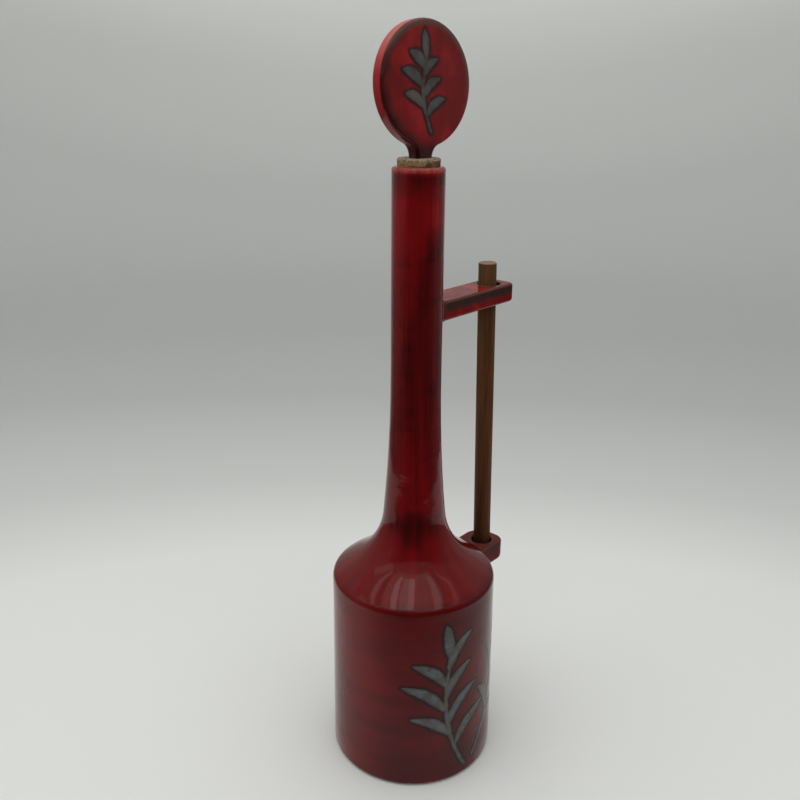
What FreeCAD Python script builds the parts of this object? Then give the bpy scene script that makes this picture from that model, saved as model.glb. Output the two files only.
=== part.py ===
"""A tall stoneware bottle with a wooden carrying handle and a disc-headed cork stopper.

Four separate pieces, all resting in one another:
  bottle        thrown body, neck and mouth, with two pierced lugs luted on one side
  cork          tapered plug that seats in the mouth
  stopper_head  flat clay disc on a short stem, pegged into the cork
  dowel         round wooden rod, loose in the upper lug and standing in the lower one

Frame: origin at the centre of the base, +Z up, lugs and dowel on the +X side.
Units are millimetres.
"""
import FreeCAD, Part
import math
import os

# --- thrown body and neck ---------------------------------------------------
BASE_RADIUS = 46.0            # flat underside corner, measured over the rounding
BASE_EDGE_RADIUS = 2.6
WALL_TOP_RADIUS = 45.0        # the wall draws in slightly towards the shoulder
WALL_TOP_Z = 108.6
CREASE_RADIUS = 4.5           # soft edge between wall and shoulder
SHOULDER_PITCH = 36.0         # degrees above level
SHOULDER_RUN = 13.6           # straight slope between crease and neck sweep
SWEEP_RADIUS = 37.2           # concave sweep up into the neck
SWEEP_END = 84.5              # degrees above level where the long neck flare starts
NECK_RADIUS = 13.15
RIM_RADIUS = 13.0
RIM_Z = 330.0
LIP_OUTER_RADIUS = 1.6
LIP_INNER_RADIUS = 0.6

# --- cork and its seat ------------------------------------------------------
CORK_TOP_RADIUS = 10.5
CORK_FOOT_RADIUS = 9.0
CORK_LENGTH = 24.0
CORK_PROUD = 3.6
CORK_EDGE = 0.5

# --- stopper head -----------------------------------------------------------
DISC_RADIUS = 28.2
DISC_THICKNESS = 7.3
DISC_EDGE_RADIUS = 1.8
DISC_CENTRE_ABOVE_CORK = 32.9
STEM_WIDTH = 10.2
STEM_FLARE_RADIUS = 6.5
STEM_SEAT = 0.8               # the stem's foot is pressed this far into the cork
PEG_RADIUS = 3.2
PEG_LENGTH = 14.0
STEM_OFF_CENTRE = 0.9         # towards the lugs
STOPPER_TURN = -6.8           # degrees about Z, as the stopper sits in the mouth
STOPPER_LEAN_SIDE = 4.0       # degrees, in the disc's own plane, towards the lugs
STOPPER_LEAN_BACK = 2.5       # degrees, away from the decorated face

# --- lugs -------------------------------------------------------------------
# A hole_depth of None goes right through; start is how far inside the wall the strap begins.
UPPER_LUG = dict(top=263.5, thickness=10.4, width=19.2, reach=73.0, near_corner=4.2, far_corner=8.6,
                 hole_xy=(61.0, 0.0), hole_radius=6.3, hole_depth=None,
                 start=4.0, under_edge=2.0, root_fillet=3.2)
LOWER_LUG = dict(top=104.0, thickness=13.4, width=22.4, reach=74.3, near_corner=6.8, far_corner=10.8,
                 hole_xy=(63.2, -0.8), hole_radius=6.1, hole_depth=8.0,
                 start=38.0, under_edge=3.4, root_fillet=4.0)
LUG_TOP_EDGE = 1.6
HOLE_EDGE_RADIUS = 0.7

# --- dowel ------------------------------------------------------------------
DOWEL_RADIUS = 5.0
DOWEL_STUB = 11.4             # how far it stands above the upper lug
DOWEL_FOOT_XY = (63.0, -1.4)
DOWEL_HEAD_XY = (60.8, 1.2)
DOWEL_EDGE = 0.5
DOWEL_SEAT = 0.08             # the leaning foot stands on its low edge

TOUCH = 0.01                  # how near two places count as the same when edges are picked
CUTTER_MARGIN = 1.0           # how far a cutter stands clear of the face it opens


def vec(x, y, z):
    return FreeCAD.Vector(x, y, z)


def arc_through(centre, radius, start, end):
    """Arc in the XZ plane from angle start to angle end (degrees from +X towards +Z)."""
    points = []
    for angle in (start, (start + end) / 2, end):
        a = math.radians(angle)
        points.append(vec(centre[0] + radius * math.cos(a), 0, centre[1] + radius * math.sin(a)))
    return Part.Arc(*points).toShape()


def neck_flare(r_start, pitch):
    """Radius of the long flare that brings a wall at this pitch upright at the neck's radius."""
    return (r_start - NECK_RADIUS) / (1 - math.sin(math.radians(pitch)))


def body_profile():
    """Half section of the thrown form, from the centre of the base round to the centre of the rim."""
    slope = math.radians(SHOULDER_PITCH)
    crease = (WALL_TOP_RADIUS - CREASE_RADIUS, WALL_TOP_Z)
    shoulder_start = (crease[0] + CREASE_RADIUS * math.sin(slope),
                      crease[1] + CREASE_RADIUS * math.cos(slope))
    shoulder_end = (shoulder_start[0] - SHOULDER_RUN * math.cos(slope),
                    shoulder_start[1] + SHOULDER_RUN * math.sin(slope))
    sweep = (shoulder_end[0] + SWEEP_RADIUS * math.sin(slope),
             shoulder_end[1] + SWEEP_RADIUS * math.cos(slope))
    steep = math.radians(SWEEP_END)
    sweep_end = (sweep[0] - SWEEP_RADIUS * math.sin(steep), sweep[1] - SWEEP_RADIUS * math.cos(steep))
    flare_radius = neck_flare(sweep_end[0], SWEEP_END)
    flare = (sweep_end[0] + flare_radius * math.sin(steep), sweep_end[1] + flare_radius * math.cos(steep))
    rim_edge = RIM_Z - LIP_OUTER_RADIUS

    edges = [
        Part.LineSegment(vec(0, 0, 0), vec(BASE_RADIUS - BASE_EDGE_RADIUS, 0, 0)).toShape(),
        arc_through((BASE_RADIUS - BASE_EDGE_RADIUS, BASE_EDGE_RADIUS), BASE_EDGE_RADIUS, -90, 0),
        Part.LineSegment(vec(BASE_RADIUS, 0, BASE_EDGE_RADIUS),
                         vec(WALL_TOP_RADIUS, 0, WALL_TOP_Z)).toShape(),
        arc_through(crease, CREASE_RADIUS, 0, 90 - SHOULDER_PITCH),
        Part.LineSegment(vec(shoulder_start[0], 0, shoulder_start[1]),
                         vec(shoulder_end[0], 0, shoulder_end[1])).toShape(),
        arc_through(sweep, SWEEP_RADIUS, 270 - SHOULDER_PITCH, 270 - SWEEP_END),
        arc_through(flare, flare_radius, 270 - SWEEP_END, 180),
        Part.LineSegment(vec(NECK_RADIUS, 0, flare[1]), vec(RIM_RADIUS, 0, rim_edge)).toShape(),
        arc_through((RIM_RADIUS - LIP_OUTER_RADIUS, rim_edge), LIP_OUTER_RADIUS, 0, 90),
        Part.LineSegment(vec(RIM_RADIUS - LIP_OUTER_RADIUS, 0, RIM_Z), vec(0, 0, RIM_Z)).toShape(),
        Part.LineSegment(vec(0, 0, RIM_Z), vec(0, 0, 0)).toShape(),
    ]
    return Part.Face(Part.Wire(edges))


def cork_cone():
    """The plug's tapered form, and so that of its seat in the mouth."""
    foot = vec(0, 0, RIM_Z + CORK_PROUD - CORK_LENGTH)
    return Part.makeCone(CORK_FOOT_RADIUS, CORK_TOP_RADIUS, CORK_LENGTH, foot)


def thrown_form():
    """Body and neck turned on the wheel, with the mouth opened for the cork."""
    turned = body_profile().revolve(vec(0, 0, 0), vec(0, 0, 1), 360)
    turned.rotate(vec(0, 0, 0), vec(0, 0, 1), 180)
    opened = turned.cut(cork_cone())
    mouth = [e for e in opened.Edges
             if abs(e.BoundBox.ZMax - RIM_Z) < TOUCH and e.BoundBox.ZLength < TOUCH
             and CORK_FOOT_RADIUS < e.BoundBox.XMax < CORK_TOP_RADIUS]
    return opened.makeFillet(LIP_INNER_RADIUS, mouth)


def lug_outline(width, reach, near_corner, far_corner, start):
    """Plan of a strap with a squarish end, its two corners rounded to their own radii."""
    half = width / 2
    diagonal = math.sqrt(0.5)
    near = (reach - near_corner, -half + near_corner)
    far = (reach - far_corner, half - far_corner)
    edges = [
        Part.LineSegment(vec(start, -half, 0), vec(near[0], -half, 0)).toShape(),
        Part.Arc(vec(near[0], -half, 0),
                 vec(near[0] + near_corner * diagonal, near[1] - near_corner * diagonal, 0),
                 vec(reach, near[1], 0)).toShape(),
        Part.LineSegment(vec(reach, near[1], 0), vec(reach, far[1], 0)).toShape(),
        Part.Arc(vec(reach, far[1], 0),
                 vec(far[0] + far_corner * diagonal, far[1] + far_corner * diagonal, 0),
                 vec(far[0], half, 0)).toShape(),
        Part.LineSegment(vec(far[0], half, 0), vec(start, half, 0)).toShape(),
        Part.LineSegment(vec(start, half, 0), vec(start, -half, 0)).toShape(),
    ]
    return Part.Face(Part.Wire(edges))


def lug(top, thickness, width, reach, near_corner, far_corner, start, under_edge, **_):
    """The strap alone: edges softened everywhere but at the end that meets the wall."""
    outline = lug_outline(width, reach, near_corner, far_corner, start)
    strap = outline.extrude(vec(0, 0, thickness))
    strap.translate(vec(0, 0, top - thickness))
    for level, radius in ((top, LUG_TOP_EDGE), (top - thickness, under_edge)):
        rim = [e for e in strap.Edges
               if e.BoundBox.ZLength < TOUCH and abs(e.BoundBox.ZMax - level) < TOUCH
               and e.BoundBox.XMax > start + TOUCH]
        strap = strap.makeFillet(radius, rim)
    return strap


def hole(top, thickness, hole_xy, hole_radius, hole_depth, **_):
    """The cutter for a lug's hole."""
    depth = thickness + CUTTER_MARGIN if hole_depth is None else hole_depth
    return Part.makeCylinder(hole_radius, depth + CUTTER_MARGIN, vec(hole_xy[0], hole_xy[1], top - depth))


def hole_rims(solid, spec):
    """The circular edges where a lug's hole meets the lug's level faces."""
    levels = [spec["top"]]
    if spec["hole_depth"] is None:
        levels.append(spec["top"] - spec["thickness"])
    rims = []
    for edge in solid.Edges:
        box = edge.BoundBox
        around_hole = (abs(box.XLength - 2 * spec["hole_radius"]) < TOUCH
                       and abs(box.Center.x - spec["hole_xy"][0]) < TOUCH)
        if around_hole and any(abs(box.Center.z - z) < TOUCH and box.ZLength < TOUCH for z in levels):
            rims.append(edge)
    return rims


def root_edges(solid, spec):
    """The edges where a lug runs into the thrown wall."""
    low = spec["top"] - spec["thickness"] - TOUCH
    high = spec["top"] + TOUCH
    hole_start = spec["hole_xy"][0] - spec["hole_radius"]
    half = spec["width"] / 2 + TOUCH
    found = []
    for edge in solid.Edges:
        box = edge.BoundBox
        on_lug = box.ZMin > low and box.ZMax < high and box.YMin > -half and box.YMax < half
        if on_lug and 0 < box.XMin and box.XMax < hole_start and box.XLength < half:
            found.append(edge)
    return found


def bottle():
    """Thrown form, then each lug luted on, its root smoothed into the wall and its hole pierced."""
    solid = thrown_form()
    for spec in (UPPER_LUG, LOWER_LUG):
        solid = solid.fuse(lug(**spec))
        solid = solid.makeFillet(spec["root_fillet"], root_edges(solid, spec))
        solid = solid.cut(hole(**spec))
        solid = solid.makeFillet(HOLE_EDGE_RADIUS, hole_rims(solid, spec))
    return solid


def placed_stopper(shape):
    """Lean a piece of the stopper about the foot of its stem, then turn it in the mouth."""
    pivot = vec(0, 0, RIM_Z + CORK_PROUD)
    leaning = shape.copy()
    leaning.rotate(pivot, vec(0, 1, 0), STOPPER_LEAN_SIDE)
    leaning.rotate(pivot, vec(1, 0, 0), -STOPPER_LEAN_BACK)
    leaning.translate(vec(STEM_OFF_CENTRE, 0, 0))
    leaning.rotate(pivot, vec(0, 0, 1), STOPPER_TURN)
    return leaning


def peg():
    """Round tenon under the stem, sunk in the cork."""
    return Part.makeCylinder(PEG_RADIUS, PEG_LENGTH, vec(0, 0, RIM_Z + CORK_PROUD - PEG_LENGTH))


def stopper_outline():
    """Disc running down into its stem through a concave flare on each side."""
    foot = RIM_Z + CORK_PROUD - STEM_SEAT
    centre = foot + STEM_SEAT + DISC_CENTRE_ABOVE_CORK
    half = STEM_WIDTH / 2
    flare_x = half + STEM_FLARE_RADIUS
    reach = DISC_RADIUS + STEM_FLARE_RADIUS
    drop = math.sqrt(reach ** 2 - flare_x ** 2)
    flare_z = centre - drop
    tangent = math.degrees(math.atan2(drop, flare_x))
    on_disc = (DISC_RADIUS / reach * flare_x, centre - DISC_RADIUS / reach * drop)

    def flare(side):
        middle = math.radians(180 - tangent / 2)
        return Part.Arc(vec(side * half, 0, flare_z),
                        vec(side * (flare_x + STEM_FLARE_RADIUS * math.cos(middle)), 0,
                            flare_z + STEM_FLARE_RADIUS * math.sin(middle)),
                        vec(side * on_disc[0], 0, on_disc[1])).toShape()

    edges = [
        Part.LineSegment(vec(-half, 0, foot), vec(half, 0, foot)).toShape(),
        Part.LineSegment(vec(half, 0, foot), vec(half, 0, flare_z)).toShape(),
        flare(1),
        Part.Arc(vec(on_disc[0], 0, on_disc[1]), vec(0, 0, centre + DISC_RADIUS),
                 vec(-on_disc[0], 0, on_disc[1])).toShape(),
        flare(-1),
        Part.LineSegment(vec(-half, 0, flare_z), vec(-half, 0, foot)).toShape(),
    ]
    return Part.Face(Part.Wire(edges))


def stopper_head():
    """Flat clay disc cut in one with its stem, every edge rounded by wiping, with its tenon."""
    slab = stopper_outline().extrude(vec(0, DISC_THICKNESS, 0))
    slab.translate(vec(0, -DISC_THICKNESS / 2, 0))
    foot = RIM_Z + CORK_PROUD - STEM_SEAT
    around = [e for e in slab.Edges if e.BoundBox.YLength < TOUCH and e.BoundBox.ZMax > foot + TOUCH]
    softened = slab.makeFillet(DISC_EDGE_RADIUS, around)
    return placed_stopper(softened.fuse(peg()).removeSplitter())


def cork():
    """Tapered plug with its arrises rubbed off, bored for the stopper's foot and tenon."""
    plug = cork_cone()
    ends = [e for e in plug.Edges if e.BoundBox.ZLength < TOUCH]
    return plug.makeChamfer(CORK_EDGE, ends).cut(stopper_head())


def dowel():
    """Straight rod with a slight lean, from the floor of the lower hole to above the upper lug."""
    foot = vec(DOWEL_FOOT_XY[0], DOWEL_FOOT_XY[1], LOWER_LUG["top"] - LOWER_LUG["hole_depth"] + DOWEL_SEAT)
    head = vec(DOWEL_HEAD_XY[0], DOWEL_HEAD_XY[1], UPPER_LUG["top"] + DOWEL_STUB)
    along = head.sub(foot)
    rod = Part.makeCylinder(DOWEL_RADIUS, along.Length, foot, along)
    ends = [e for e in rod.Edges if e.BoundBox.ZLength < DOWEL_RADIUS]
    return rod.makeChamfer(DOWEL_EDGE, ends)


PIECES = dict(bottle=bottle, cork=cork, stopper_head=stopper_head, dowel=dowel)

os.makedirs("parts", exist_ok=True)
for name, make in PIECES.items():
    shape = make()
    shape.exportStep(f"parts/{name}.step")
    print(f"{name}: valid {shape.isValid()}, solids {len(shape.Solids)}, {shape.Volume / 1000:.1f} cm3")
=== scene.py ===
"""Looks of a tall red-glazed bottle with a wooden rod handle and a disc-headed cork stopper.

Metres throughout, but the painted sprays and the glaze are laid out in millimetres of surface.
The bottle's neck is the Z axis, the lugs and rod stand on the +X side.
"""
import bpy
import math
from collections import namedtuple
from mathutils import Matrix, Vector

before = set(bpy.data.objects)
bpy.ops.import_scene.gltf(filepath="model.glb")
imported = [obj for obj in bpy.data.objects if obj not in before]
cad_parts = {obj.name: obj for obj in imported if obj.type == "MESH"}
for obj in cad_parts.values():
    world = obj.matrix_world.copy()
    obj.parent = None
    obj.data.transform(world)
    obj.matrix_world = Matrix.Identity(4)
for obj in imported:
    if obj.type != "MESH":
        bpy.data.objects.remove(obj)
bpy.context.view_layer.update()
MM = 0.001

# --- sizes of the made thing, in millimetres --------------------------------
BODY_RADIUS = 45.5
WALL_TOP_Z = 112.0              # the crease where the wall turns into the shoulder
NECK_FOOT_Z = 150.0
RIM_Z = 330.0
CORK_TOP_Z = 333.6
ROD_STANDS_UP = 11.0            # how far the rod's cut end is above the upper lug
DISC_RADIUS = 28.2
DISC_THICKNESS = 7.3
DISC_HEIGHT = 32.9              # the disc's centre above the cork
STEM_OFF_CENTRE = 0.9
STOPPER_TURN = -6.8             # degrees, as are the two leans
STOPPER_LEAN_SIDE = 4.0
STOPPER_LEAN_BACK = 2.5

# Hole is its centre seen from above, and lip the radius its worn edge starts from. A dark band of thin
# glaze lies down the lug's side: how deep it is, the height it fades over and how strong it is.
Lug = namedtuple("Lug", "top half_width hole lip band_depth band_fade band_share worn_top")
UPPER_LUG = Lug(top=263.5, half_width=9.6, hole=(61.0, 0.0), lip=6.9,
                band_depth=3.4, band_fade=3.8, band_share=1.0, worn_top=0.0)
LOWER_LUG = Lug(top=104.0, half_width=11.2, hole=(63.2, -0.8), lip=6.8,
                band_depth=3.8, band_fade=9.0, band_share=0.72, worn_top=0.55)

# Directions seen from above, in degrees round from +X.
SPRAY_CENTRE = -106.0           # where the painted sprays face
POOLED_SIDE = -139.8            # where the glaze ran and pooled on the neck
VIEW_TURN = -49.8               # how far the camera is turned from looking along +Y


# --- wiring shader nodes ----------------------------------------------------
class Wiring:
    """Puts nodes into one material or group and joins them."""

    def __init__(self, tree):
        self.tree = tree

    def feed(self, socket, value):
        if isinstance(value, bpy.types.NodeSocket):
            self.tree.links.new(value, socket)
        elif value is not None:
            socket.default_value = value

    def put(self, kind, sockets=None, **settings):
        node = self.tree.nodes.new(kind)
        for name, value in settings.items():
            setattr(node, name, value)
        for name, value in (sockets or {}).items():
            self.feed(node.inputs[name], value)
        return node

    def math(self, operation, a, b=None, clamp=False):
        return self.put("ShaderNodeMath", {0: a, 1: b}, operation=operation, use_clamp=clamp).outputs[0]

    def product(self, first, *others):
        for other in others:
            first = self.math("MULTIPLY", first, other)
        return first

    def highest(self, first, *others):
        for other in others:
            first = self.math("MAXIMUM", first, other)
        return first

    def more(self, value, share, amount):
        return self.math("ADD", value, self.math("MULTIPLY", share, amount))

    def less(self, value, share, amount):
        return self.math("SUBTRACT", value, self.math("MULTIPLY", share, amount))

    def blend(self, share, a, b):
        """The value a where share is 0 and b where it is 1."""
        kept = self.math("MULTIPLY", a, self.math("SUBTRACT", 1.0, share))
        return self.math("ADD", kept, self.math("MULTIPLY", b, share))

    def vector(self, operation, a, b=None):
        node = self.put("ShaderNodeVectorMath", {0: a}, operation=operation)
        if operation == "SCALE":
            self.feed(node.inputs["Scale"], b)
        else:
            self.feed(node.inputs[1], b)
        value_out = operation in ("DOT_PRODUCT", "LENGTH", "DISTANCE")
        return node.outputs["Value" if value_out else "Vector"]

    def apart(self, vector):
        return self.put("ShaderNodeSeparateXYZ", {0: vector}).outputs

    def joined(self, x, y, z):
        return self.put("ShaderNodeCombineXYZ", {0: x, 1: y, 2: z}).outputs[0]

    def between(self, value, low, high):
        """0 at low and 1 at high, soft at both ends; high may be the smaller."""
        node = self.put("ShaderNodeMapRange", {"Value": value, "From Min": low, "From Max": high},
                        interpolation_type="SMOOTHSTEP")
        return node.outputs["Result"]

    def scaled(self, value, low, high, to_low, to_high):
        """The range from low to high made the range from to_low to to_high, and held there outside it."""
        node = self.put("ShaderNodeMapRange", {"Value": value, "From Min": low, "From Max": high,
                                               "To Min": to_low, "To Max": to_high})
        return node.outputs["Result"]

    def mixed(self, share, a, b, blend="MIX"):
        """The colour a where share is 0 and b where it is 1."""
        node = self.put("ShaderNodeMix", data_type="RGBA", blend_type=blend)
        self.feed(node.inputs[0], share)
        self.feed(node.inputs[6], a)
        self.feed(node.inputs[7], b)
        return node.outputs[2]

    def noise(self, place, scale, detail=3.0, rough=0.5, twist=0.0):
        node = self.put("ShaderNodeTexNoise", {"Vector": place, "Scale": scale, "Detail": detail,
                                               "Roughness": rough, "Distortion": twist})
        return node.outputs["Fac"]

    def stretched_noise(self, place, scales, scale, detail=3.0, rough=0.5, twist=0.0):
        """Noise drawn out along the axes whose scale is the smaller."""
        return self.noise(self.vector("MULTIPLY", place, scales), scale, detail, rough, twist)

    def ramp(self, share, stops):
        node = self.put("ShaderNodeValToRGB", {"Fac": share})
        marks = node.color_ramp.elements
        while len(marks) < len(stops):
            marks.new(0.5)
        for mark, (place, colour) in zip(marks, stops):
            mark.position = place
            mark.color = (*colour, 1.0)
        return node.outputs["Color"]

    def group(self, tree, sockets):
        node = self.put("ShaderNodeGroup", node_tree=tree)
        for name, value in sockets.items():
            self.feed(node.inputs[name], value)
        return node.outputs


def shader_group(name, takes, gives):
    """An empty node group with these named sockets; returns it with its wiring and both ends."""
    tree = bpy.data.node_groups.new(name, "ShaderNodeTree")
    for way, sockets in (("INPUT", takes), ("OUTPUT", gives)):
        for socket, kind in sockets.items():
            tree.interface.new_socket(name=socket, in_out=way, socket_type="NodeSocket" + kind)
    w = Wiring(tree)
    return tree, w, w.put("NodeGroupInput").outputs, w.put("NodeGroupOutput").inputs


# --- shared effects ---------------------------------------------------------
def make_brush_stroke():
    """Distance, in millimetres, from the edge of one bowed stroke; less than nought is inside.

    Belly 0 is an even line with round ends, 1 a leaf that swells between two points.
    """
    tree, w, take, give = shader_group(
        "brush_stroke",
        {"Place": "Vector", "Root": "Vector", "Tip": "Vector", "Half Width": "Float",
         "Bow": "Float", "Belly": "Float", "Nearest": "Float"},
        {"Nearest": "Float"})
    reach = w.vector("SUBTRACT", take["Tip"], take["Root"])
    from_root = w.vector("SUBTRACT", take["Place"], take["Root"])
    length_squared = w.vector("DOT_PRODUCT", reach, reach)
    along = w.math("DIVIDE", w.vector("DOT_PRODUCT", from_root, reach), length_squared, clamp=True)
    rest = w.math("SUBTRACT", 1.0, along)
    swell = w.product(along, rest, 4.0)
    x, y, _ = w.apart(w.vector("NORMALIZE", reach))
    sideways = w.joined(w.math("MULTIPLY", y, -1.0), x, 0.0)
    bowed = w.vector("SCALE", sideways, w.math("MULTIPLY", swell, take["Bow"]))
    spine = w.vector("ADD", w.vector("SCALE", reach, along), bowed)
    away = w.vector("DISTANCE", from_root, spine)
    slim = w.math("MULTIPLY", take["Belly"], w.math("SUBTRACT", 1.0, w.math("POWER", swell, 0.7)))
    half = w.math("MULTIPLY", take["Half Width"], w.less(1.0, slim, 0.88))
    w.feed(give["Nearest"], w.math("MINIMUM", take["Nearest"], w.math("SUBTRACT", away, half)))
    return tree


def make_slate_paint():
    """Painted colour over a glaze: slate inside the strokes, a dark line bled into the glaze round them."""
    tree, w, take, give = shader_group(
        "slate_paint",
        {"Place": "Vector", "Nearest": "Float", "Glaze": "Color", "Slate": "Color", "Bleed": "Float"},
        {"Colour": "Color", "Paint": "Float", "Height": "Float"})
    bled_line = (0.012, 0.007, 0.007, 1.0)
    rubbed_slate, thick_slate = (0.115, 0.098, 0.068, 1.0), (0.036, 0.032, 0.031, 1.0)
    wander = w.noise(take["Place"], 260.0, 2.0)
    edge = w.math("ADD", take["Nearest"], w.scaled(wander, 0.3, 0.7, -0.35, 0.35))
    paint = w.between(edge, 0.10, -0.55)
    bled = w.between(edge, take["Bleed"], w.math("MULTIPLY", take["Bleed"], 0.25))
    dark = w.mixed(w.math("MULTIPLY", bled, 0.86), take["Glaze"], bled_line)
    cloud = w.noise(take["Place"], 150.0, 4.0, 0.65)
    lighter = w.vector("MULTIPLY", take["Slate"], (1.5, 1.65, 1.85))
    pale = w.mixed(w.between(cloud, 0.38, 0.62), take["Slate"], lighter)
    wear = w.noise(w.vector("ADD", take["Place"], (0.7, 0.3, 0.2)), 95.0, 4.0, 0.65)
    pale = w.mixed(w.math("MULTIPLY", w.between(wear, 0.52, 0.66), 0.75), pale, rubbed_slate)
    pale = w.mixed(w.math("MULTIPLY", w.between(wear, 0.44, 0.34), 0.7), pale, thick_slate)
    full = w.math("MULTIPLY", paint, w.scaled(w.between(edge, -0.4, -1.9), 0.0, 1.0, 0.62, 1.0))
    w.feed(give["Colour"], w.mixed(full, dark, pale))
    w.feed(give["Paint"], paint)
    w.feed(give["Height"], w.between(edge, 0.5, -0.9))
    return tree


def make_glaze_skin():
    """The fine unevenness of a fired glaze: height for a bump, with slow swells and a faint orange peel."""
    tree, w, take, give = shader_group(
        "glaze_skin", {"Place": "Vector", "Swell": "Float", "Peel": "Float"}, {"Height": "Float"})
    swell = w.noise(take["Place"], 42.0, 1.5, 0.4)
    peel = w.noise(take["Place"], 420.0, 1.0, 0.4)
    w.feed(give["Height"], w.more(w.math("MULTIPLY", swell, take["Swell"]), peel, take["Peel"]))
    return tree


brush_stroke = make_brush_stroke()
slate_paint = make_slate_paint()
glaze_skin = make_glaze_skin()

# From the darkest pooled glaze to the brightest thin red.
GLAZE_TONES = [(0.0, (0.020, 0.0035, 0.0035)), (0.30, (0.075, 0.004, 0.0048)),
               (0.62, (0.165, 0.0045, 0.0056)), (0.85, (0.30, 0.009, 0.011)), (1.0, (0.50, 0.040, 0.044))]
BROKEN_GLAZE = (0.022, 0.017, 0.014, 1.0)   # brown-black where the glaze runs thin over an edge
THIN_GLAZE = (0.085, 0.052, 0.040, 1.0)     # paler where it has only half run off
PINK_GLAZE_AND_HIGHLIGHT = (0.52, 0.13, 0.12, 1.0)      # pinker glaze on the high side of the disc, brightened as a painted highlight
RIM_GLAZE_AND_HIGHLIGHT = (0.29, 0.125, 0.10, 1.0)       # duller thin glaze on the bottle's rim, with a painted soft highlight
SLATE = (0.074, 0.073, 0.069, 1.0)
DULL_SLATE = (0.052, 0.053, 0.050, 1.0)
GLAZE_IOR = 1.37
GLAZE_ROUGHNESS = 0.06
DISC_ROUGHNESS = 0.10


# --- painted sprays ---------------------------------------------------------
def spray(foot, top, bow, stem_width, leaves, leaf_length, leaf_width, opening):
    """Strokes of one spray: a bowed stem and leaves set by turns on its two sides.

    Each stroke is (root, tip, half width, bow, belly), in millimetres.
    """
    foot, top = Vector((*foot, 0.0)), Vector((*top, 0.0))
    run = top - foot
    side = Vector((-run.y, run.x, 0.0)).normalized()
    strokes = [(foot, top, stem_width, bow, 0.35)]
    for n in range(leaves):
        share = 0.22 + 0.78 * n / (leaves - 1)
        node = foot + run * share + side * bow * 4 * share * (1 - share)
        hand = 1 if n % 2 else -1
        if n == leaves - 1:
            hand = 0
        turn = math.radians(hand * opening * (1.08 - 0.35 * share))
        heading = Matrix.Rotation(turn, 3, "Z") @ run.normalized()
        length = leaf_length * (1.0 - 0.42 * abs(share - 0.45)) * (0.92 if n % 3 else 1.06)
        strokes.append((node, node + heading * length, leaf_width * (0.86 + 0.14 * (n % 2)),
                        -hand * length * 0.13, 1.0))
    return strokes


def painted(w, place, strokes):
    """Distance from the nearest of these strokes."""
    nearest = 99.0
    for root, tip, half_width, bow, belly in strokes:
        nearest = w.group(brush_stroke, {"Place": place, "Root": root, "Tip": tip, "Half Width": half_width,
                                         "Bow": bow, "Belly": belly, "Nearest": nearest})["Nearest"]
    return nearest


body_spray = (spray((5, 7), (-5, 80), bow=7.0, stem_width=1.5, leaves=8,
                    leaf_length=31, leaf_width=3.3, opening=52)
              + spray((11, 10), (35, 74), bow=-5.0, stem_width=1.2, leaves=6,
                      leaf_length=26, leaf_width=2.9, opening=46))
disc_spray = spray((3.0, -21), (-1.5, 11), bow=3.5, stem_width=1.35, leaves=7,
                   leaf_length=15.0, leaf_width=2.75, opening=62)


# --- materials --------------------------------------------------------------
def new_material(name, roughness):
    material = bpy.data.materials.new(name)
    material.use_nodes = True
    material.node_tree.nodes.clear()
    w = Wiring(material.node_tree)
    shader = w.put("ShaderNodeBsdfPrincipled", {"Roughness": roughness})
    w.put("ShaderNodeOutputMaterial", {"Surface": shader.outputs[0]})
    place = w.put("ShaderNodeTexCoord").outputs["Object"]
    return material, w, shader, place


def bump(w, height, distance):
    return w.put("ShaderNodeBump", {"Height": height, "Distance": distance, "Strength": 1.0}).outputs[0]


def heading_of(degrees):
    """The level direction this far round from +X."""
    return Vector((math.cos(math.radians(degrees)), math.sin(math.radians(degrees)), 0.0))


pooled_side = heading_of(POOLED_SIDE)
round_from_it = Vector((0, 0, 1)).cross(pooled_side)


class OnBottle:
    """Where a point of the bottle lies, in millimetres: the sockets its glaze is worked out from."""

    def __init__(self, w, place):
        self.mm = w.vector("SCALE", place, 1 / MM)
        self.x, self.y, self.z = w.apart(self.mm)
        self.out = w.math("MAXIMUM", w.vector("LENGTH", w.joined(self.x, self.y, 0.0)), 1.0)
        # Round the bottle and up it, so that noise can be drawn out into runs.
        self.around = w.joined(w.math("DIVIDE", self.x, self.out), w.math("DIVIDE", self.y, self.out), self.z)
        self.ahead = w.vector("DOT_PRODUCT", self.mm, pooled_side)
        self.aside = w.vector("DOT_PRODUCT", self.mm, round_from_it)
        self.on_pooled_side = w.between(self.ahead, -2.0, 6.0)
        # Heights and edges that wander, for glaze that has run.
        self.strayed_z = w.math("ADD", self.z, w.scaled(w.noise(self.mm, 0.06, 2.0), 0.3, 0.7, -3.0, 3.0))
        self.ragged = w.scaled(w.noise(self.mm, 0.11, 3.0, 0.6), 0.3, 0.7, -1.6, 1.6)
        self.mottle = w.noise(self.mm, 0.35, 3.0, 0.6)
        up_lug = w.product(w.between(self.z, UPPER_LUG.top - 17.5, UPPER_LUG.top - 13.5),
                           w.between(self.z, UPPER_LUG.top + 4, UPPER_LUG.top + 1))
        self.on_upper_lug = w.product(w.between(self.x, 11.4, 12.5), up_lug)
        self.on_lower_lug = w.product(w.between(self.out, BODY_RADIUS + 1, BODY_RADIUS + 3.5),
                                      w.between(self.z, LOWER_LUG.top + 8, LOWER_LUG.top + 4))


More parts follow.
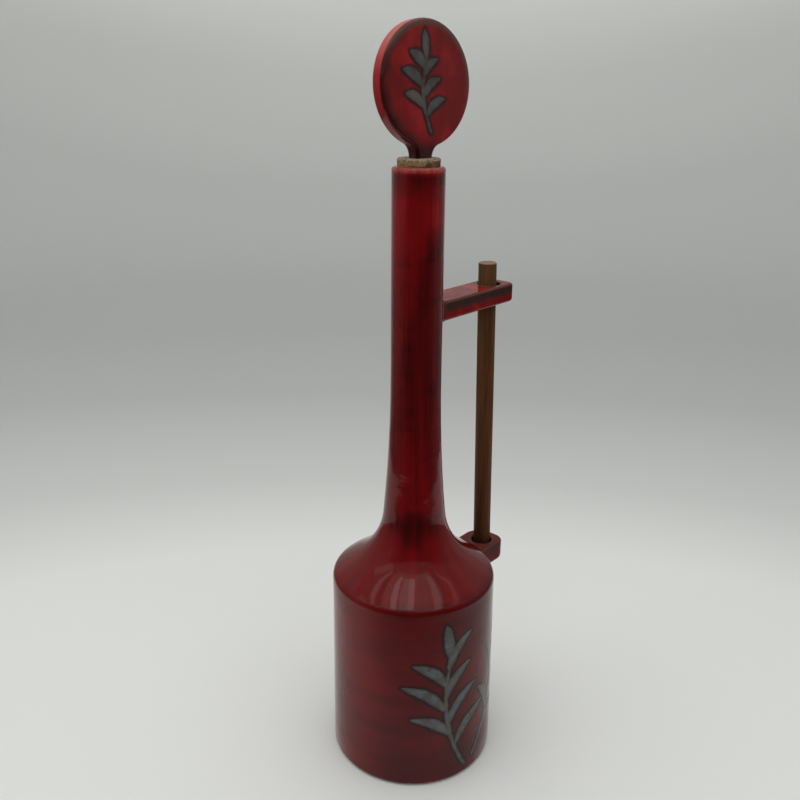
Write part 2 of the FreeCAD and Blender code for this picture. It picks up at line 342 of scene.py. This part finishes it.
def neck_tone(w, at):
    """Streaked and smudged, with a bright run down one side that thins to a long dark pool beside it, and a
    painted highlight along the lip.
    """
    runs = w.stretched_noise(at.around, (1.6, 1.6, 0.010), 1.5, 2.0, 0.5, 0.3)
    threads = w.stretched_noise(at.around, (9.0, 9.0, 0.012), 1.6, 3.0, 0.6)
    smudges = w.stretched_noise(at.mm, (0.05, 0.05, 0.11), 1.0, 2.5, 0.55, 0.3)
    tone = w.math("ADD", w.scaled(runs, 0.36, 0.64, 0.40, 0.54), w.scaled(threads, 0.3, 0.7, -0.08, 0.08))
    tone = w.less(tone, w.between(smudges, 0.52, 0.68), 0.13)

    hollow = w.math("MULTIPLY", w.between(at.strayed_z, RIM_Z - 98, RIM_Z - 27), 12.0)
    past_edge = w.math("ADD", w.math("SUBTRACT", at.aside, w.math("SUBTRACT", hollow, 7.0)), at.ragged)
    dark_run = w.product(w.between(past_edge, -3.0, 3.5), w.between(at.strayed_z, RIM_Z - 25, RIM_Z - 37),
                         w.between(at.strayed_z, NECK_FOOT_Z + 18, NECK_FOOT_Z + 86),
                         w.between(at.aside, 21.0, 3.0), at.on_pooled_side)
    bright_run = w.product(w.between(at.strayed_z, RIM_Z - 68, RIM_Z - 30), w.between(past_edge, 1.0, -4.0))
    bright_run = w.highest(bright_run, w.between(at.strayed_z, RIM_Z - 38, RIM_Z - 22))
    tone = w.more(tone, w.product(bright_run, at.on_pooled_side), 0.20)
    tone = w.less(tone, dark_run, 0.24)
    tone = w.less(tone, w.between(at.strayed_z, RIM_Z - 18, RIM_Z - 5), 0.26)
    # Painted highlight: the glaze is made brighter just under the rim, where the lip catches the light.
    return w.more(tone, w.between(at.z, RIM_Z - 4.5, RIM_Z - 1.5), 0.50)


def wall_tone(w, at):
    """Banded by the wheel and clouded, ruddier round one side."""
    rings = w.stretched_noise(at.mm, (0.008, 0.008, 0.075), 1.0, 2.5, 0.5, 0.2)
    patches = w.noise(at.mm, 0.022, 2.0, 0.45, 0.3)
    tone = w.math("ADD", w.scaled(rings, 0.36, 0.64, 0.24, 0.39), w.scaled(patches, 0.35, 0.65, -0.05, 0.06))
    ruddy = w.product(w.between(at.aside, -8.0, -30.0), w.between(at.ahead, -10.0, 12.0))
    return w.more(tone, ruddy, 0.16)


def bottle_tone(w, at):
    """How deep the red is all over the bottle: 0 is pooled and dark, 1 thin and bright; painted shade at the
    neck's foot and under the crease, and a painted highlight at the lip, are laid in on the same scale.
    """
    spokes = w.stretched_noise(at.around, (4.0, 4.0, 0.02), 1.3, 2.0, 0.5)
    shoulder_tone = w.scaled(spokes, 0.35, 0.65, 0.44, 0.60)
    tone = w.blend(w.between(at.z, WALL_TOP_Z - 6, WALL_TOP_Z + 3), wall_tone(w, at), shoulder_tone)
    tone = w.blend(w.between(at.z, NECK_FOOT_Z - 6, NECK_FOOT_Z + 26), tone, neck_tone(w, at))

    # Painted dark reflection: the glaze is darkened in a patch at the neck's foot on the pooled side,
    # standing in for the dark front of the room mirrored there.
    reflection_across = w.math("DIVIDE", w.math("ADD", w.math("ADD", at.aside, at.ragged), 1.0), 13.0)
    reflection_up = w.math("DIVIDE", w.math("SUBTRACT", at.strayed_z, NECK_FOOT_Z - 4.5), 7.5)
    foot_dark_reflection = w.between(w.vector("LENGTH", w.joined(reflection_across, reflection_up, 0.0)), 1.75, 0.25)
    tone = w.less(tone, w.product(foot_dark_reflection, at.on_pooled_side), 0.36)
    # Painted shade: the glaze is darkened in a band just under the crease, fading out towards one side,
    # standing in for the crease's dark reflection.
    crease = w.product(w.between(at.z, WALL_TOP_Z - 6.5, WALL_TOP_Z - 3.5),
                       w.between(at.z, WALL_TOP_Z + 3, WALL_TOP_Z + 0.5), w.between(at.aside, -26.0, -8.0))
    tone = w.less(tone, crease, 0.10)

    lug_tone = w.scaled(w.noise(at.mm, 0.10, 2.0), 0.35, 0.65, 0.62, 0.90)
    lug_tone = w.less(lug_tone, w.between(at.z, UPPER_LUG.top - 0.5, UPPER_LUG.top - 2.5), 0.13)
    return w.blend(w.highest(at.on_upper_lug, at.on_lower_lug), tone, lug_tone)


def lug_wear(w, at, lug, ragged_z):
    """The dark band down one lug's side, and the paler arris, edges and lip of the hole on its top."""
    band_foot = lug.top - lug.band_depth
    band = w.product(w.between(ragged_z, band_foot - lug.band_fade, band_foot),
                     w.between(at.z, lug.top - 0.5, lug.top - 1.3))
    from_hole = w.vector("DISTANCE", w.joined(at.x, at.y, 0.0), (*lug.hole, 0.0))
    from_hole = w.math("ADD", from_hole, w.scaled(at.mottle, 0.3, 0.7, -1.2, 1.2))
    lip = w.math("MULTIPLY", w.between(from_hole, lug.lip + 4.6, lug.lip + 0.2), 0.9)
    inside = w.math("SUBTRACT", lug.half_width - 1.4, w.math("ABSOLUTE", at.y))
    ragged_inside = w.math("ADD", inside, w.scaled(at.mottle, 0.3, 0.7, -0.8, 0.8))
    edge = w.math("MULTIPLY", w.between(ragged_inside, 2.2, 0.3), 0.6)
    worn = w.product(w.between(at.z, lug.top - 1.0, lug.top - 0.2), w.highest(lip, edge, lug.worn_top))
    arris = w.product(w.between(at.z, lug.top - 1.1, lug.top - 0.5), w.between(inside, 0.1, -0.6))
    return w.math("MULTIPLY", band, lug.band_share), w.highest(arris, worn)


def bottle_glaze():
    """Deep red, run and streaked down the neck, banded on the wall, thin over the rim and the lugs' edges,
    with a painted highlight along the rim.
    """
    material, w, shader, place = new_material("bottle_glaze", GLAZE_ROUGHNESS)
    shader.inputs["IOR"].default_value = GLAZE_IOR
    at = OnBottle(w, place)
    glaze = w.ramp(bottle_tone(w, at), GLAZE_TONES)

    # Thin glaze over the rim, mixed with a painted soft highlight along the lip.
    rim = w.product(w.between(at.z, RIM_Z - 3.0, RIM_Z - 1.0), w.scaled(at.mottle, 0.35, 0.65, 0.15, 0.65))
    glaze = w.mixed(rim, glaze, RIM_GLAZE_AND_HIGHLIGHT)
    ragged_z = w.math("ADD", at.z, w.scaled(w.noise(at.mm, 0.16, 3.0, 0.55), 0.3, 0.7, -0.5, 0.5))
    broken, pale = 0.0, 0.0
    for lug, on_lug in ((UPPER_LUG, at.on_upper_lug), (LOWER_LUG, at.on_lower_lug)):
        band, worn = lug_wear(w, at, lug, ragged_z)
        broken = w.highest(broken, w.product(band, on_lug))
        pale = w.highest(pale, w.product(worn, on_lug))
    glaze = w.mixed(w.math("MULTIPLY", broken, 0.92), glaze, BROKEN_GLAZE)
    glaze = w.mixed(w.math("MULTIPLY", pale, 0.9), glaze, THIN_GLAZE)

    # The sprays are laid out on the wall unrolled, and stop below the shoulder.
    toward = w.vector("DOT_PRODUCT", at.mm, heading_of(SPRAY_CENTRE))
    across = w.vector("DOT_PRODUCT", at.mm, heading_of(SPRAY_CENTRE + 90))
    along = w.math("MULTIPLY", w.math("ARCTAN2", across, toward), BODY_RADIUS)
    nearest = painted(w, w.joined(along, at.z, 0.0), body_spray)
    nearest = w.more(nearest, w.between(at.z, WALL_TOP_Z - 4, WALL_TOP_Z), 20.0)
    coat = w.group(slate_paint, {"Place": place, "Nearest": nearest, "Glaze": glaze, "Slate": SLATE,
                                 "Bleed": 2.0})
    w.feed(shader.inputs["Base Color"], coat["Colour"])
    w.feed(shader.inputs["Roughness"], w.scaled(coat["Paint"], 0.0, 1.0, GLAZE_ROUGHNESS, 0.24))

    # The wall shines a little less than the neck, and the lugs, where the glaze is thin, least.
    dry = w.more(w.product(at.on_upper_lug, w.scaled(at.x, 40.0, 68.0, 0.29, 0.42)), at.on_lower_lug, 0.42)
    off_lug = w.math("SUBTRACT", 1.0, at.on_lower_lug)
    on_wall = w.product(w.between(at.z, WALL_TOP_Z - 2, WALL_TOP_Z - 8), off_lug)
    dry = w.more(dry, on_wall, w.scaled(at.aside, -20.0, 44.0, 0.09, 0.16))
    w.feed(shader.inputs["Specular IOR Level"], w.math("SUBTRACT", 0.5, dry))
    skin = w.group(glaze_skin, {"Place": place, "Swell": 0.9, "Peel": 0.05})["Height"]
    w.feed(shader.inputs["Normal"], bump(w, w.more(skin, coat["Height"], 0.35), 0.0004))
    return material


def stopper_frame():
    """The disc's centre and its own axes, as the stopper sits in the mouth."""
    turn = Matrix.Rotation(math.radians(STOPPER_TURN), 3, "Z")
    lean = (Matrix.Rotation(math.radians(-STOPPER_LEAN_BACK), 3, "X")
            @ Matrix.Rotation(math.radians(STOPPER_LEAN_SIDE), 3, "Y"))
    centre = turn @ (lean @ Vector((0, 0, DISC_HEIGHT)) + Vector((STEM_OFF_CENTRE, 0, 0)))
    return centre + Vector((0, 0, CORK_TOP_Z)), (turn @ lean).col


def stopper_glaze():
    """The same glaze on the disc, dark inside its lower edge with painted shade over pooled glaze, brighter
    and pinker up its side with a painted highlight over pinker glaze, and run thin over its upper one.
    """
    material, w, shader, place = new_material("stopper_glaze", DISC_ROUGHNESS)
    shader.inputs["IOR"].default_value = GLAZE_IOR
    mm = w.vector("SCALE", place, 1 / MM)
    centre, (across, through, upward) = stopper_frame()
    own = w.vector("SUBTRACT", mm, centre)
    u = w.vector("DOT_PRODUCT", own, across)
    v = w.vector("DOT_PRODUCT", own, upward)
    deep = w.vector("DOT_PRODUCT", own, through)
    inside_rim = w.math("SUBTRACT", DISC_RADIUS, w.vector("LENGTH", w.joined(u, v, 0.0)))
    inside_face = w.math("SUBTRACT", DISC_THICKNESS / 2, w.math("ABSOLUTE", deep))
    on_side = w.product(w.between(inside_rim, 2.4, 0.8), w.between(inside_face, 0.8, 1.8))

    clouds = w.noise(mm, 0.075, 3.0, 0.55, 0.3)
    streaks = w.stretched_noise(w.joined(u, v, deep), (0.10, 0.022, 0.08), 1.0, 3.0, 0.55)
    mottle = w.noise(mm, 0.30, 3.0, 0.6)
    tone = w.math("ADD", w.scaled(clouds, 0.35, 0.65, 0.52, 0.76), w.scaled(streaks, 0.35, 0.65, -0.08, 0.08))
    # Painted shade along with pooled glaze: the face is darkened inside its lower-left edge.
    low_hand = w.math("ADD", w.math("MULTIPLY", u, -0.98), w.math("MULTIPLY", v, -0.20))
    shade_and_pool_edge = w.math("ADD", inside_rim, w.scaled(clouds, 0.35, 0.65, -0.8, 0.8))
    tone = w.less(tone, w.product(w.between(shade_and_pool_edge, 5.2, 1.4), w.between(low_hand, 5.0, 20.0)), 0.46)
    # Painted highlight: the disc's side is made brighter towards its top, where it faces up to the light.
    tone = w.blend(on_side, tone, w.scaled(v, -24.0, 20.0, 0.62, 1.0))
    tone = w.less(tone, w.between(v, -24.0, -30.0), 0.46)
    glaze = w.ramp(tone, GLAZE_TONES)

    # Pinker glaze high on the side, mixed in as part of the painted highlight there.
    pale_top_edge = w.product(on_side, w.between(v, 2.0, 20.0))
    glaze = w.mixed(w.math("MULTIPLY", pale_top_edge, 0.75), glaze, PINK_GLAZE_AND_HIGHLIGHT)
    corner = w.highest(inside_rim, w.math("MULTIPLY", inside_face, 4.5))
    corner = w.math("ADD", corner, w.scaled(mottle, 0.3, 0.7, -0.4, 0.4))
    upper = w.scaled(w.between(w.more(v, u, 0.35), -4.0, 17.0), 0.0, 1.0, 0.10, 0.90)
    run_thin = w.product(w.between(corner, 4.2, 1.5), upper, w.between(v, -22.0, -10.0))
    glaze = w.mixed(run_thin, glaze, THIN_GLAZE)

    # The spray is on the disc's front face only.
    back = w.math("MULTIPLY", w.between(deep, -DISC_THICKNESS / 4, 0.0), 99.0)
    nearest = w.math("ADD", painted(w, w.joined(u, v, 0.0), disc_spray), back)
    coat = w.group(slate_paint, {"Place": place, "Nearest": nearest, "Glaze": glaze, "Slate": DULL_SLATE,
                                 "Bleed": 1.8})
    w.feed(shader.inputs["Base Color"], coat["Colour"])
    w.feed(shader.inputs["Roughness"], w.scaled(coat["Paint"], 0.0, 1.0, DISC_ROUGHNESS, 0.28))
    skin = w.group(glaze_skin, {"Place": place, "Swell": 0.7, "Peel": 0.05})["Height"]
    w.feed(shader.inputs["Normal"], bump(w, w.more(skin, coat["Height"], 0.35), 0.0004))
    return material


def cork_bark():
    """Tan cork, pitted and stained in flat streaks, paler along its top arris."""
    light_tan, dark_tan = (0.44, 0.28, 0.125, 1.0), (0.22, 0.115, 0.045, 1.0)
    stain_brown, pale_cream = (0.078, 0.033, 0.012, 1.0), (0.60, 0.49, 0.33, 1.0)
    material, w, shader, place = new_material("cork_bark", 0.75)
    mm = w.vector("SCALE", place, 1 / MM)
    grain = w.noise(mm, 0.9, 4.0, 0.65)
    stained_side = w.between(w.vector("DOT_PRODUCT", mm, round_from_it), 1.0, 13.0)
    stain = w.more(w.stretched_noise(mm, (0.13, 0.13, 0.42), 1.0, 3.0, 0.55, 0.3), stained_side, 0.20)
    bark = w.mixed(w.between(grain, 0.35, 0.7), dark_tan, light_tan)
    bark = w.mixed(w.math("MULTIPLY", w.between(stain, 0.52, 0.68), 0.85), bark, stain_brown)
    at_arris = w.between(w.apart(mm)[2], CORK_TOP_Z - 1.1, CORK_TOP_Z - 0.4)
    pale_top_edge = w.product(at_arris, w.between(grain, 0.35, 0.6), 0.7)
    w.feed(shader.inputs["Base Color"], w.mixed(pale_top_edge, bark, pale_cream))
    pits = w.between(w.noise(mm, 1.5, 4.0, 0.7), 0.25, 0.6)
    w.feed(shader.inputs["Normal"], bump(w, pits, 0.0004))
    return material


def dowel_wood():
    """Dark stained rod with fine straight grain, paler on the cut end."""
    browns = [(0.0, (0.045, 0.018, 0.006)), (0.5, (0.088, 0.040, 0.014)), (1.0, (0.136, 0.066, 0.024))]
    redder, cut_end = (1.18, 0.80, 0.85, 1.0), (0.30, 0.19, 0.125, 1.0)
    material, w, shader, place = new_material("dowel_wood", 0.5)
    shader.inputs["Specular IOR Level"].default_value = 0.08
    mm = w.vector("SCALE", place, 1 / MM)
    fibre = w.stretched_noise(mm, (1.0, 1.0, 0.035), 0.85, 4.0, 0.6, 0.2)
    figure = w.stretched_noise(mm, (0.25, 0.25, 0.010), 1.0, 2.0, 0.5, 0.4)
    tone = w.math("ADD", w.scaled(fibre, 0.3, 0.7, 0.15, 0.75), w.scaled(figure, 0.35, 0.65, -0.15, 0.2))
    wood = w.ramp(tone, browns)
    reddened = w.between(w.stretched_noise(mm, (1.0, 1.0, 0.02), 0.28, 2.0, 0.5, 0.5), 0.42, 0.60)
    wood = w.mixed(reddened, wood, redder, "MULTIPLY")
    end_z = UPPER_LUG.top + ROD_STANDS_UP
    at_end = w.between(w.apart(mm)[2], end_z - 0.1, end_z + 0.2)
    w.feed(shader.inputs["Base Color"], w.mixed(w.math("MULTIPLY", at_end, 0.8), wood, cut_end))
    w.feed(shader.inputs["Normal"], bump(w, fibre, 0.00025))
    return material


def finish_node(name, material):
    """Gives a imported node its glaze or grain, and closes the seam in its shading."""
    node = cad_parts[name]
    node.data.materials.clear()
    node.data.materials.append(material)
    weld = node.modifiers.new("closed_seam", "WELD")
    weld.merge_threshold = 0.001 * MM


finish_node("bottle", bottle_glaze())
finish_node("stopper_head", stopper_glaze())
finish_node("cork", cork_bark())
finish_node("dowel", dowel_wood())


# --- studio -----------------------------------------------------------------
toward_view = heading_of(VIEW_TURN - 90)
aside = Vector((0, 0, 1)).cross(toward_view)

# Painted light on the paper: its grey by metres out along the floor and then up the wall, darker and lighter
# to stand in for how the light falls off and gathers.
SWEEP_PAINTED_LIGHT = [(0.0, 0.87), (0.12, 0.87), (0.22, 0.85), (0.35, 0.675), (0.60, 0.545), (0.90, 0.53),
               (1.25, 0.58), (1.72, 0.67), (2.05, 0.825), (2.22, 1.0), (2.36, 0.82), (2.7, 0.65)]
SWEEP_SIDE_SHARE = 0.54         # a metre to the side counts as this much of a metre back


def studio_sweep():
    """A wide round floor whose edge curves up all round into a low wall."""
    floor_radius, bend, wall_top, steps = 1.25, 0.45, 1.0, 10
    bpy.ops.object.select_all(action="DESELECT")
    bpy.ops.mesh.primitive_circle_add(vertices=160, radius=floor_radius, fill_type="NGON",
                                      location=(0, 0, -0.2 * MM))
    sweep = bpy.context.object
    sweep.name = "studio_sweep"
    bpy.ops.object.transform_apply(location=True, rotation=True, scale=True)
    bpy.ops.object.mode_set(mode="EDIT")
    bpy.ops.mesh.select_mode(type="EDGE")
    bpy.ops.mesh.select_all(action="SELECT")
    bpy.ops.mesh.region_to_loop()
    for step in range(steps):
        a, b = (math.radians(90 * s / steps) for s in (step, step + 1))
        r_now = floor_radius + bend * math.sin(a)
        r_next = floor_radius + bend * math.sin(b)
        rise = bend * (math.cos(a) - math.cos(b))
        bpy.ops.mesh.extrude_edges_move(TRANSFORM_OT_translate={"value": (0, 0, rise)})
        bpy.ops.transform.resize(value=(r_next / r_now, r_next / r_now, 1), center_override=(0, 0, 0))
    bpy.ops.mesh.extrude_edges_move(TRANSFORM_OT_translate={"value": (0, 0, wall_top - bend)})
    bpy.ops.object.mode_set(mode="OBJECT")
    bpy.ops.object.shade_smooth()

    material, w, shader, place = new_material("sweep_paper", 0.9)
    back = w.vector("DOT_PRODUCT", place, -toward_view)
    to_side = w.math("MULTIPLY", w.vector("DOT_PRODUCT", place, aside), SWEEP_SIDE_SHARE)
    away = w.math("ADD", w.vector("LENGTH", w.joined(back, to_side, 0.0)), w.apart(place)[2])
    # The paper's grey is painted to stand in for the fall of light over the floor and wall.
    reach = SWEEP_PAINTED_LIGHT[-1][0]
    tone = w.ramp(w.math("DIVIDE", away, reach),
                  [(at / reach, (grey, grey * 1.01, grey * 0.99)) for at, grey in SWEEP_PAINTED_LIGHT])
    w.feed(shader.inputs["Base Color"], tone)
    shader.inputs["Specular IOR Level"].default_value = 0.1
    sweep.data.materials.append(material)
    return sweep


def unseen(card):
    """Only reflections meet this card: it casts no shadow and no view shows it."""
    card.visible_camera = False
    card.visible_diffuse = False
    card.visible_shadow = False
    card.visible_transmission = False
    return card


def card_material(name, stops, measure, rising=(1.0, 1.0, 1.0)):
    """Dull grey that changes along what measure returns, which runs from 0 to the last stop.

    Rising gives a height and how much of that grey there is at the floor and at that height.
    """
    material, w, shader, place = new_material(name, 1.0)
    reach = stops[-1][0]
    share = w.math("DIVIDE", measure(w, place), reach)
    grey = w.ramp(share, [(at / reach, (tone,) * 3) for at, tone in stops])
    top, at_floor, at_top = rising
    grey = w.vector("SCALE", grey, w.scaled(w.apart(place)[2], 0.0, top, at_floor, at_top))
    w.feed(shader.inputs["Base Color"], grey)
    shader.inputs["Specular IOR Level"].default_value = 0.0
    return material


def flat_card(name, size, centre):
    """A level sheet of this size, its mesh set with its middle at centre."""
    bpy.ops.object.select_all(action="DESELECT")
    bpy.ops.mesh.primitive_plane_add(size=1.0, location=(0, 0, 0))
    card = bpy.context.object
    card.name = name
    bpy.ops.object.mode_set(mode="EDIT")
    bpy.ops.mesh.select_all(action="SELECT")
    bpy.ops.transform.resize(value=(*size, 1), center_override=(0, 0, 0))
    bpy.ops.transform.translate(value=centre)
    bpy.ops.object.mode_set(mode="OBJECT")
    return card


def dim_floor():
    """The floor towards the unlit side, dimmer ahead and fading into the pale floor all round."""
    near, far, half_width = 0.05, 0.47, 0.40
    card = flat_card("dim_floor_card", (2 * half_width, far - near), (0, -(far + near) / 2, 1 * MM))
    card.data.transform(Matrix.Rotation(math.radians(VIEW_TURN), 4, "Z"))

    def dimming(w, place):
        ahead = w.between(w.vector("DOT_PRODUCT", place, toward_view), near, 0.33)
        across = w.math("ABSOLUTE", w.vector("DOT_PRODUCT", place, aside))
        return w.product(w.math("POWER", ahead, 0.8), w.between(across, half_width, 0.02))

    stops = [(0.0, 0.89), (0.3, 0.56), (0.7, 0.28), (1.0, 0.08)]
    card.data.materials.append(card_material("card_grey", stops, dimming))
    return unseen(card)


def dark_opening():
    """The unlit side the camera looks in from: a tall bent card, black ahead and greyer to its ends."""
    radius, top, half_angle, lean = 0.48, 0.49, 150, 8
    tones = ((0, 0.004), (42, 0.01), (62, 0.15), (80, 0.39), (112, 0.48), (135, 0.60), (half_angle, 0.90))
    bpy.ops.object.select_all(action="DESELECT")
    bpy.ops.mesh.primitive_circle_add(vertices=180, radius=radius, location=(0, 0, 0))
    card = bpy.context.object
    card.name = "black_card"
    bpy.ops.object.mode_set(mode="EDIT")
    bpy.ops.mesh.select_mode(type="VERT")
    bpy.ops.mesh.select_all(action="DESELECT")
    bpy.ops.object.mode_set(mode="OBJECT")
    for vertex in card.data.vertices:
        vertex.select = abs(math.degrees(math.atan2(vertex.co.x, -vertex.co.y)) - lean) > half_angle
    bpy.ops.object.mode_set(mode="EDIT")
    bpy.ops.mesh.delete(type="VERT")
    bpy.ops.mesh.select_all(action="SELECT")
    bpy.ops.mesh.extrude_edges_move(TRANSFORM_OT_translate={"value": (0, 0, top)})
    bpy.ops.object.mode_set(mode="OBJECT")
    card.data.transform(Matrix.Rotation(math.radians(VIEW_TURN), 4, "Z"))
    middle = VIEW_TURN - 90 + lean

    def angle(w, place):
        ahead = w.vector("DOT_PRODUCT", place, heading_of(middle))
        across = w.vector("DOT_PRODUCT", place, heading_of(middle + 90))
        return w.math("ABSOLUTE", w.math("ARCTAN2", across, ahead))

    stops = [(math.radians(at), tone) for at, tone in tones]
    card.data.materials.append(card_material("card_black", stops, angle, rising=(top, 0.4, 1.4)))
    return unseen(card)


def dim_ceiling():
    """Cloth over the lamps, which shows in the glaze darker than the open room would."""
    card = flat_card("ceiling_cloth", (4.0, 4.0), (0, 0, 1.05))
    card.data.materials.append(card_material(
        "cloth_grey", [(0.0, 0.85), (1.0, 0.85)], lambda w, place: w.math("ABSOLUTE", w.apart(place)[0])))
    return unseen(card)


studio_sweep()
dim_floor()
dark_opening()
dim_ceiling()


def area_lamp(name, place, turn, size, radiance):
    """A flat rectangular lamp of this brightness, whatever its size, shining down its own -Z axis."""
    data = bpy.data.lights.new(name, "AREA")
    data.shape = "RECTANGLE"
    data.size, data.size_y = size
    data.energy = radiance * math.pi * size[0] * size[1]
    data.color = (1.0, 0.99, 0.97)
    lamp = bpy.data.objects.new(name, data)
    bpy.context.scene.collection.objects.link(lamp)
    lamp.location = place
    lamp.rotation_mode = "QUATERNION"
    lamp.rotation_quaternion = turn


def ceiling_lamp(name, height, ahead, across, size, radiance):
    """A lamp flat under the ceiling, its depth running away from the camera."""
    level = Matrix((aside, -toward_view, Vector((0, 0, 1)))).transposed().to_quaternion()
    place = toward_view * ahead + aside * across + Vector((0, 0, height))
    area_lamp(name, place, level, size, radiance)


def side_lamp():
    """A wide lamp on the left, aimed low at the bottle's wall."""
    place = toward_view * 0.25 - aside * 1.0 + Vector((0, 0, 0.75))
    turn = (Vector((0, 0, 0.15)) - place).to_track_quat("-Z", "Y")
    area_lamp("left_side", place, turn, (0.7, 0.7), 0.5)


TENT_HEIGHT = 0.86
STRIP_HEIGHT = 0.85
STRIP_DEPTH = 0.40
# Each strip that shows in the shoulder: how far it is to the right, its width and its brightness.
STRIPS = ((-0.52, 0.08, 0.7), (-0.24, 0.08, 1.2), (-0.12, 0.10, 0.7), (-0.03, 0.08, 1.3), (0.32, 0.09, 0.65),
          (0.56, 0.08, 0.40))

ceiling_lamp("tent_top", TENT_HEIGHT, 0.05, 0.0, (0.80, 0.85), 0.45)
for n, (across, width, radiance) in enumerate(STRIPS):
    ceiling_lamp(f"strip_{n}", STRIP_HEIGHT, 0.16, across, (width, STRIP_DEPTH), radiance)
side_lamp()

world = bpy.data.worlds.new("pale_room")
bpy.context.scene.world = world
world.use_nodes = True
backdrop = world.node_tree.nodes["Background"]
backdrop.inputs["Color"].default_value = (0.97, 0.98, 0.97, 1.0)
backdrop.inputs["Strength"].default_value = 0.73


# --- camera -----------------------------------------------------------------
def camera():
    """Stands close and a little above, looking down past the lugs to the side with the sprays."""
    distance, height = 0.4254, 0.3686
    pitch, yaw, roll = (math.radians(a) for a in (20.26, -1.10, 0.37))
    data = bpy.data.cameras.new("camera")
    data.sensor_width = 36.0
    data.lens = 39.15
    data.clip_start, data.clip_end = 0.01, 20.0
    ahead = Vector((math.sin(yaw) * math.cos(pitch), math.cos(yaw) * math.cos(pitch), -math.sin(pitch)))
    right = Vector((math.cos(yaw), -math.sin(yaw), 0.0))
    up = right.cross(ahead)
    rolled_right = right * math.cos(roll) + up * math.sin(roll)
    rolled_up = -right * math.sin(roll) + up * math.cos(roll)
    axes = Matrix((rolled_right, rolled_up, -ahead)).transposed().to_4x4()
    turned = Matrix.Rotation(math.radians(VIEW_TURN), 4, "Z")
    obj = bpy.data.objects.new("camera", data)
    bpy.context.scene.collection.objects.link(obj)
    obj.matrix_world = turned @ Matrix.Translation((0, -distance, height)) @ axes
    return obj


bpy.context.scene.camera = camera()
bpy.context.scene.view_settings.view_transform = "Standard"
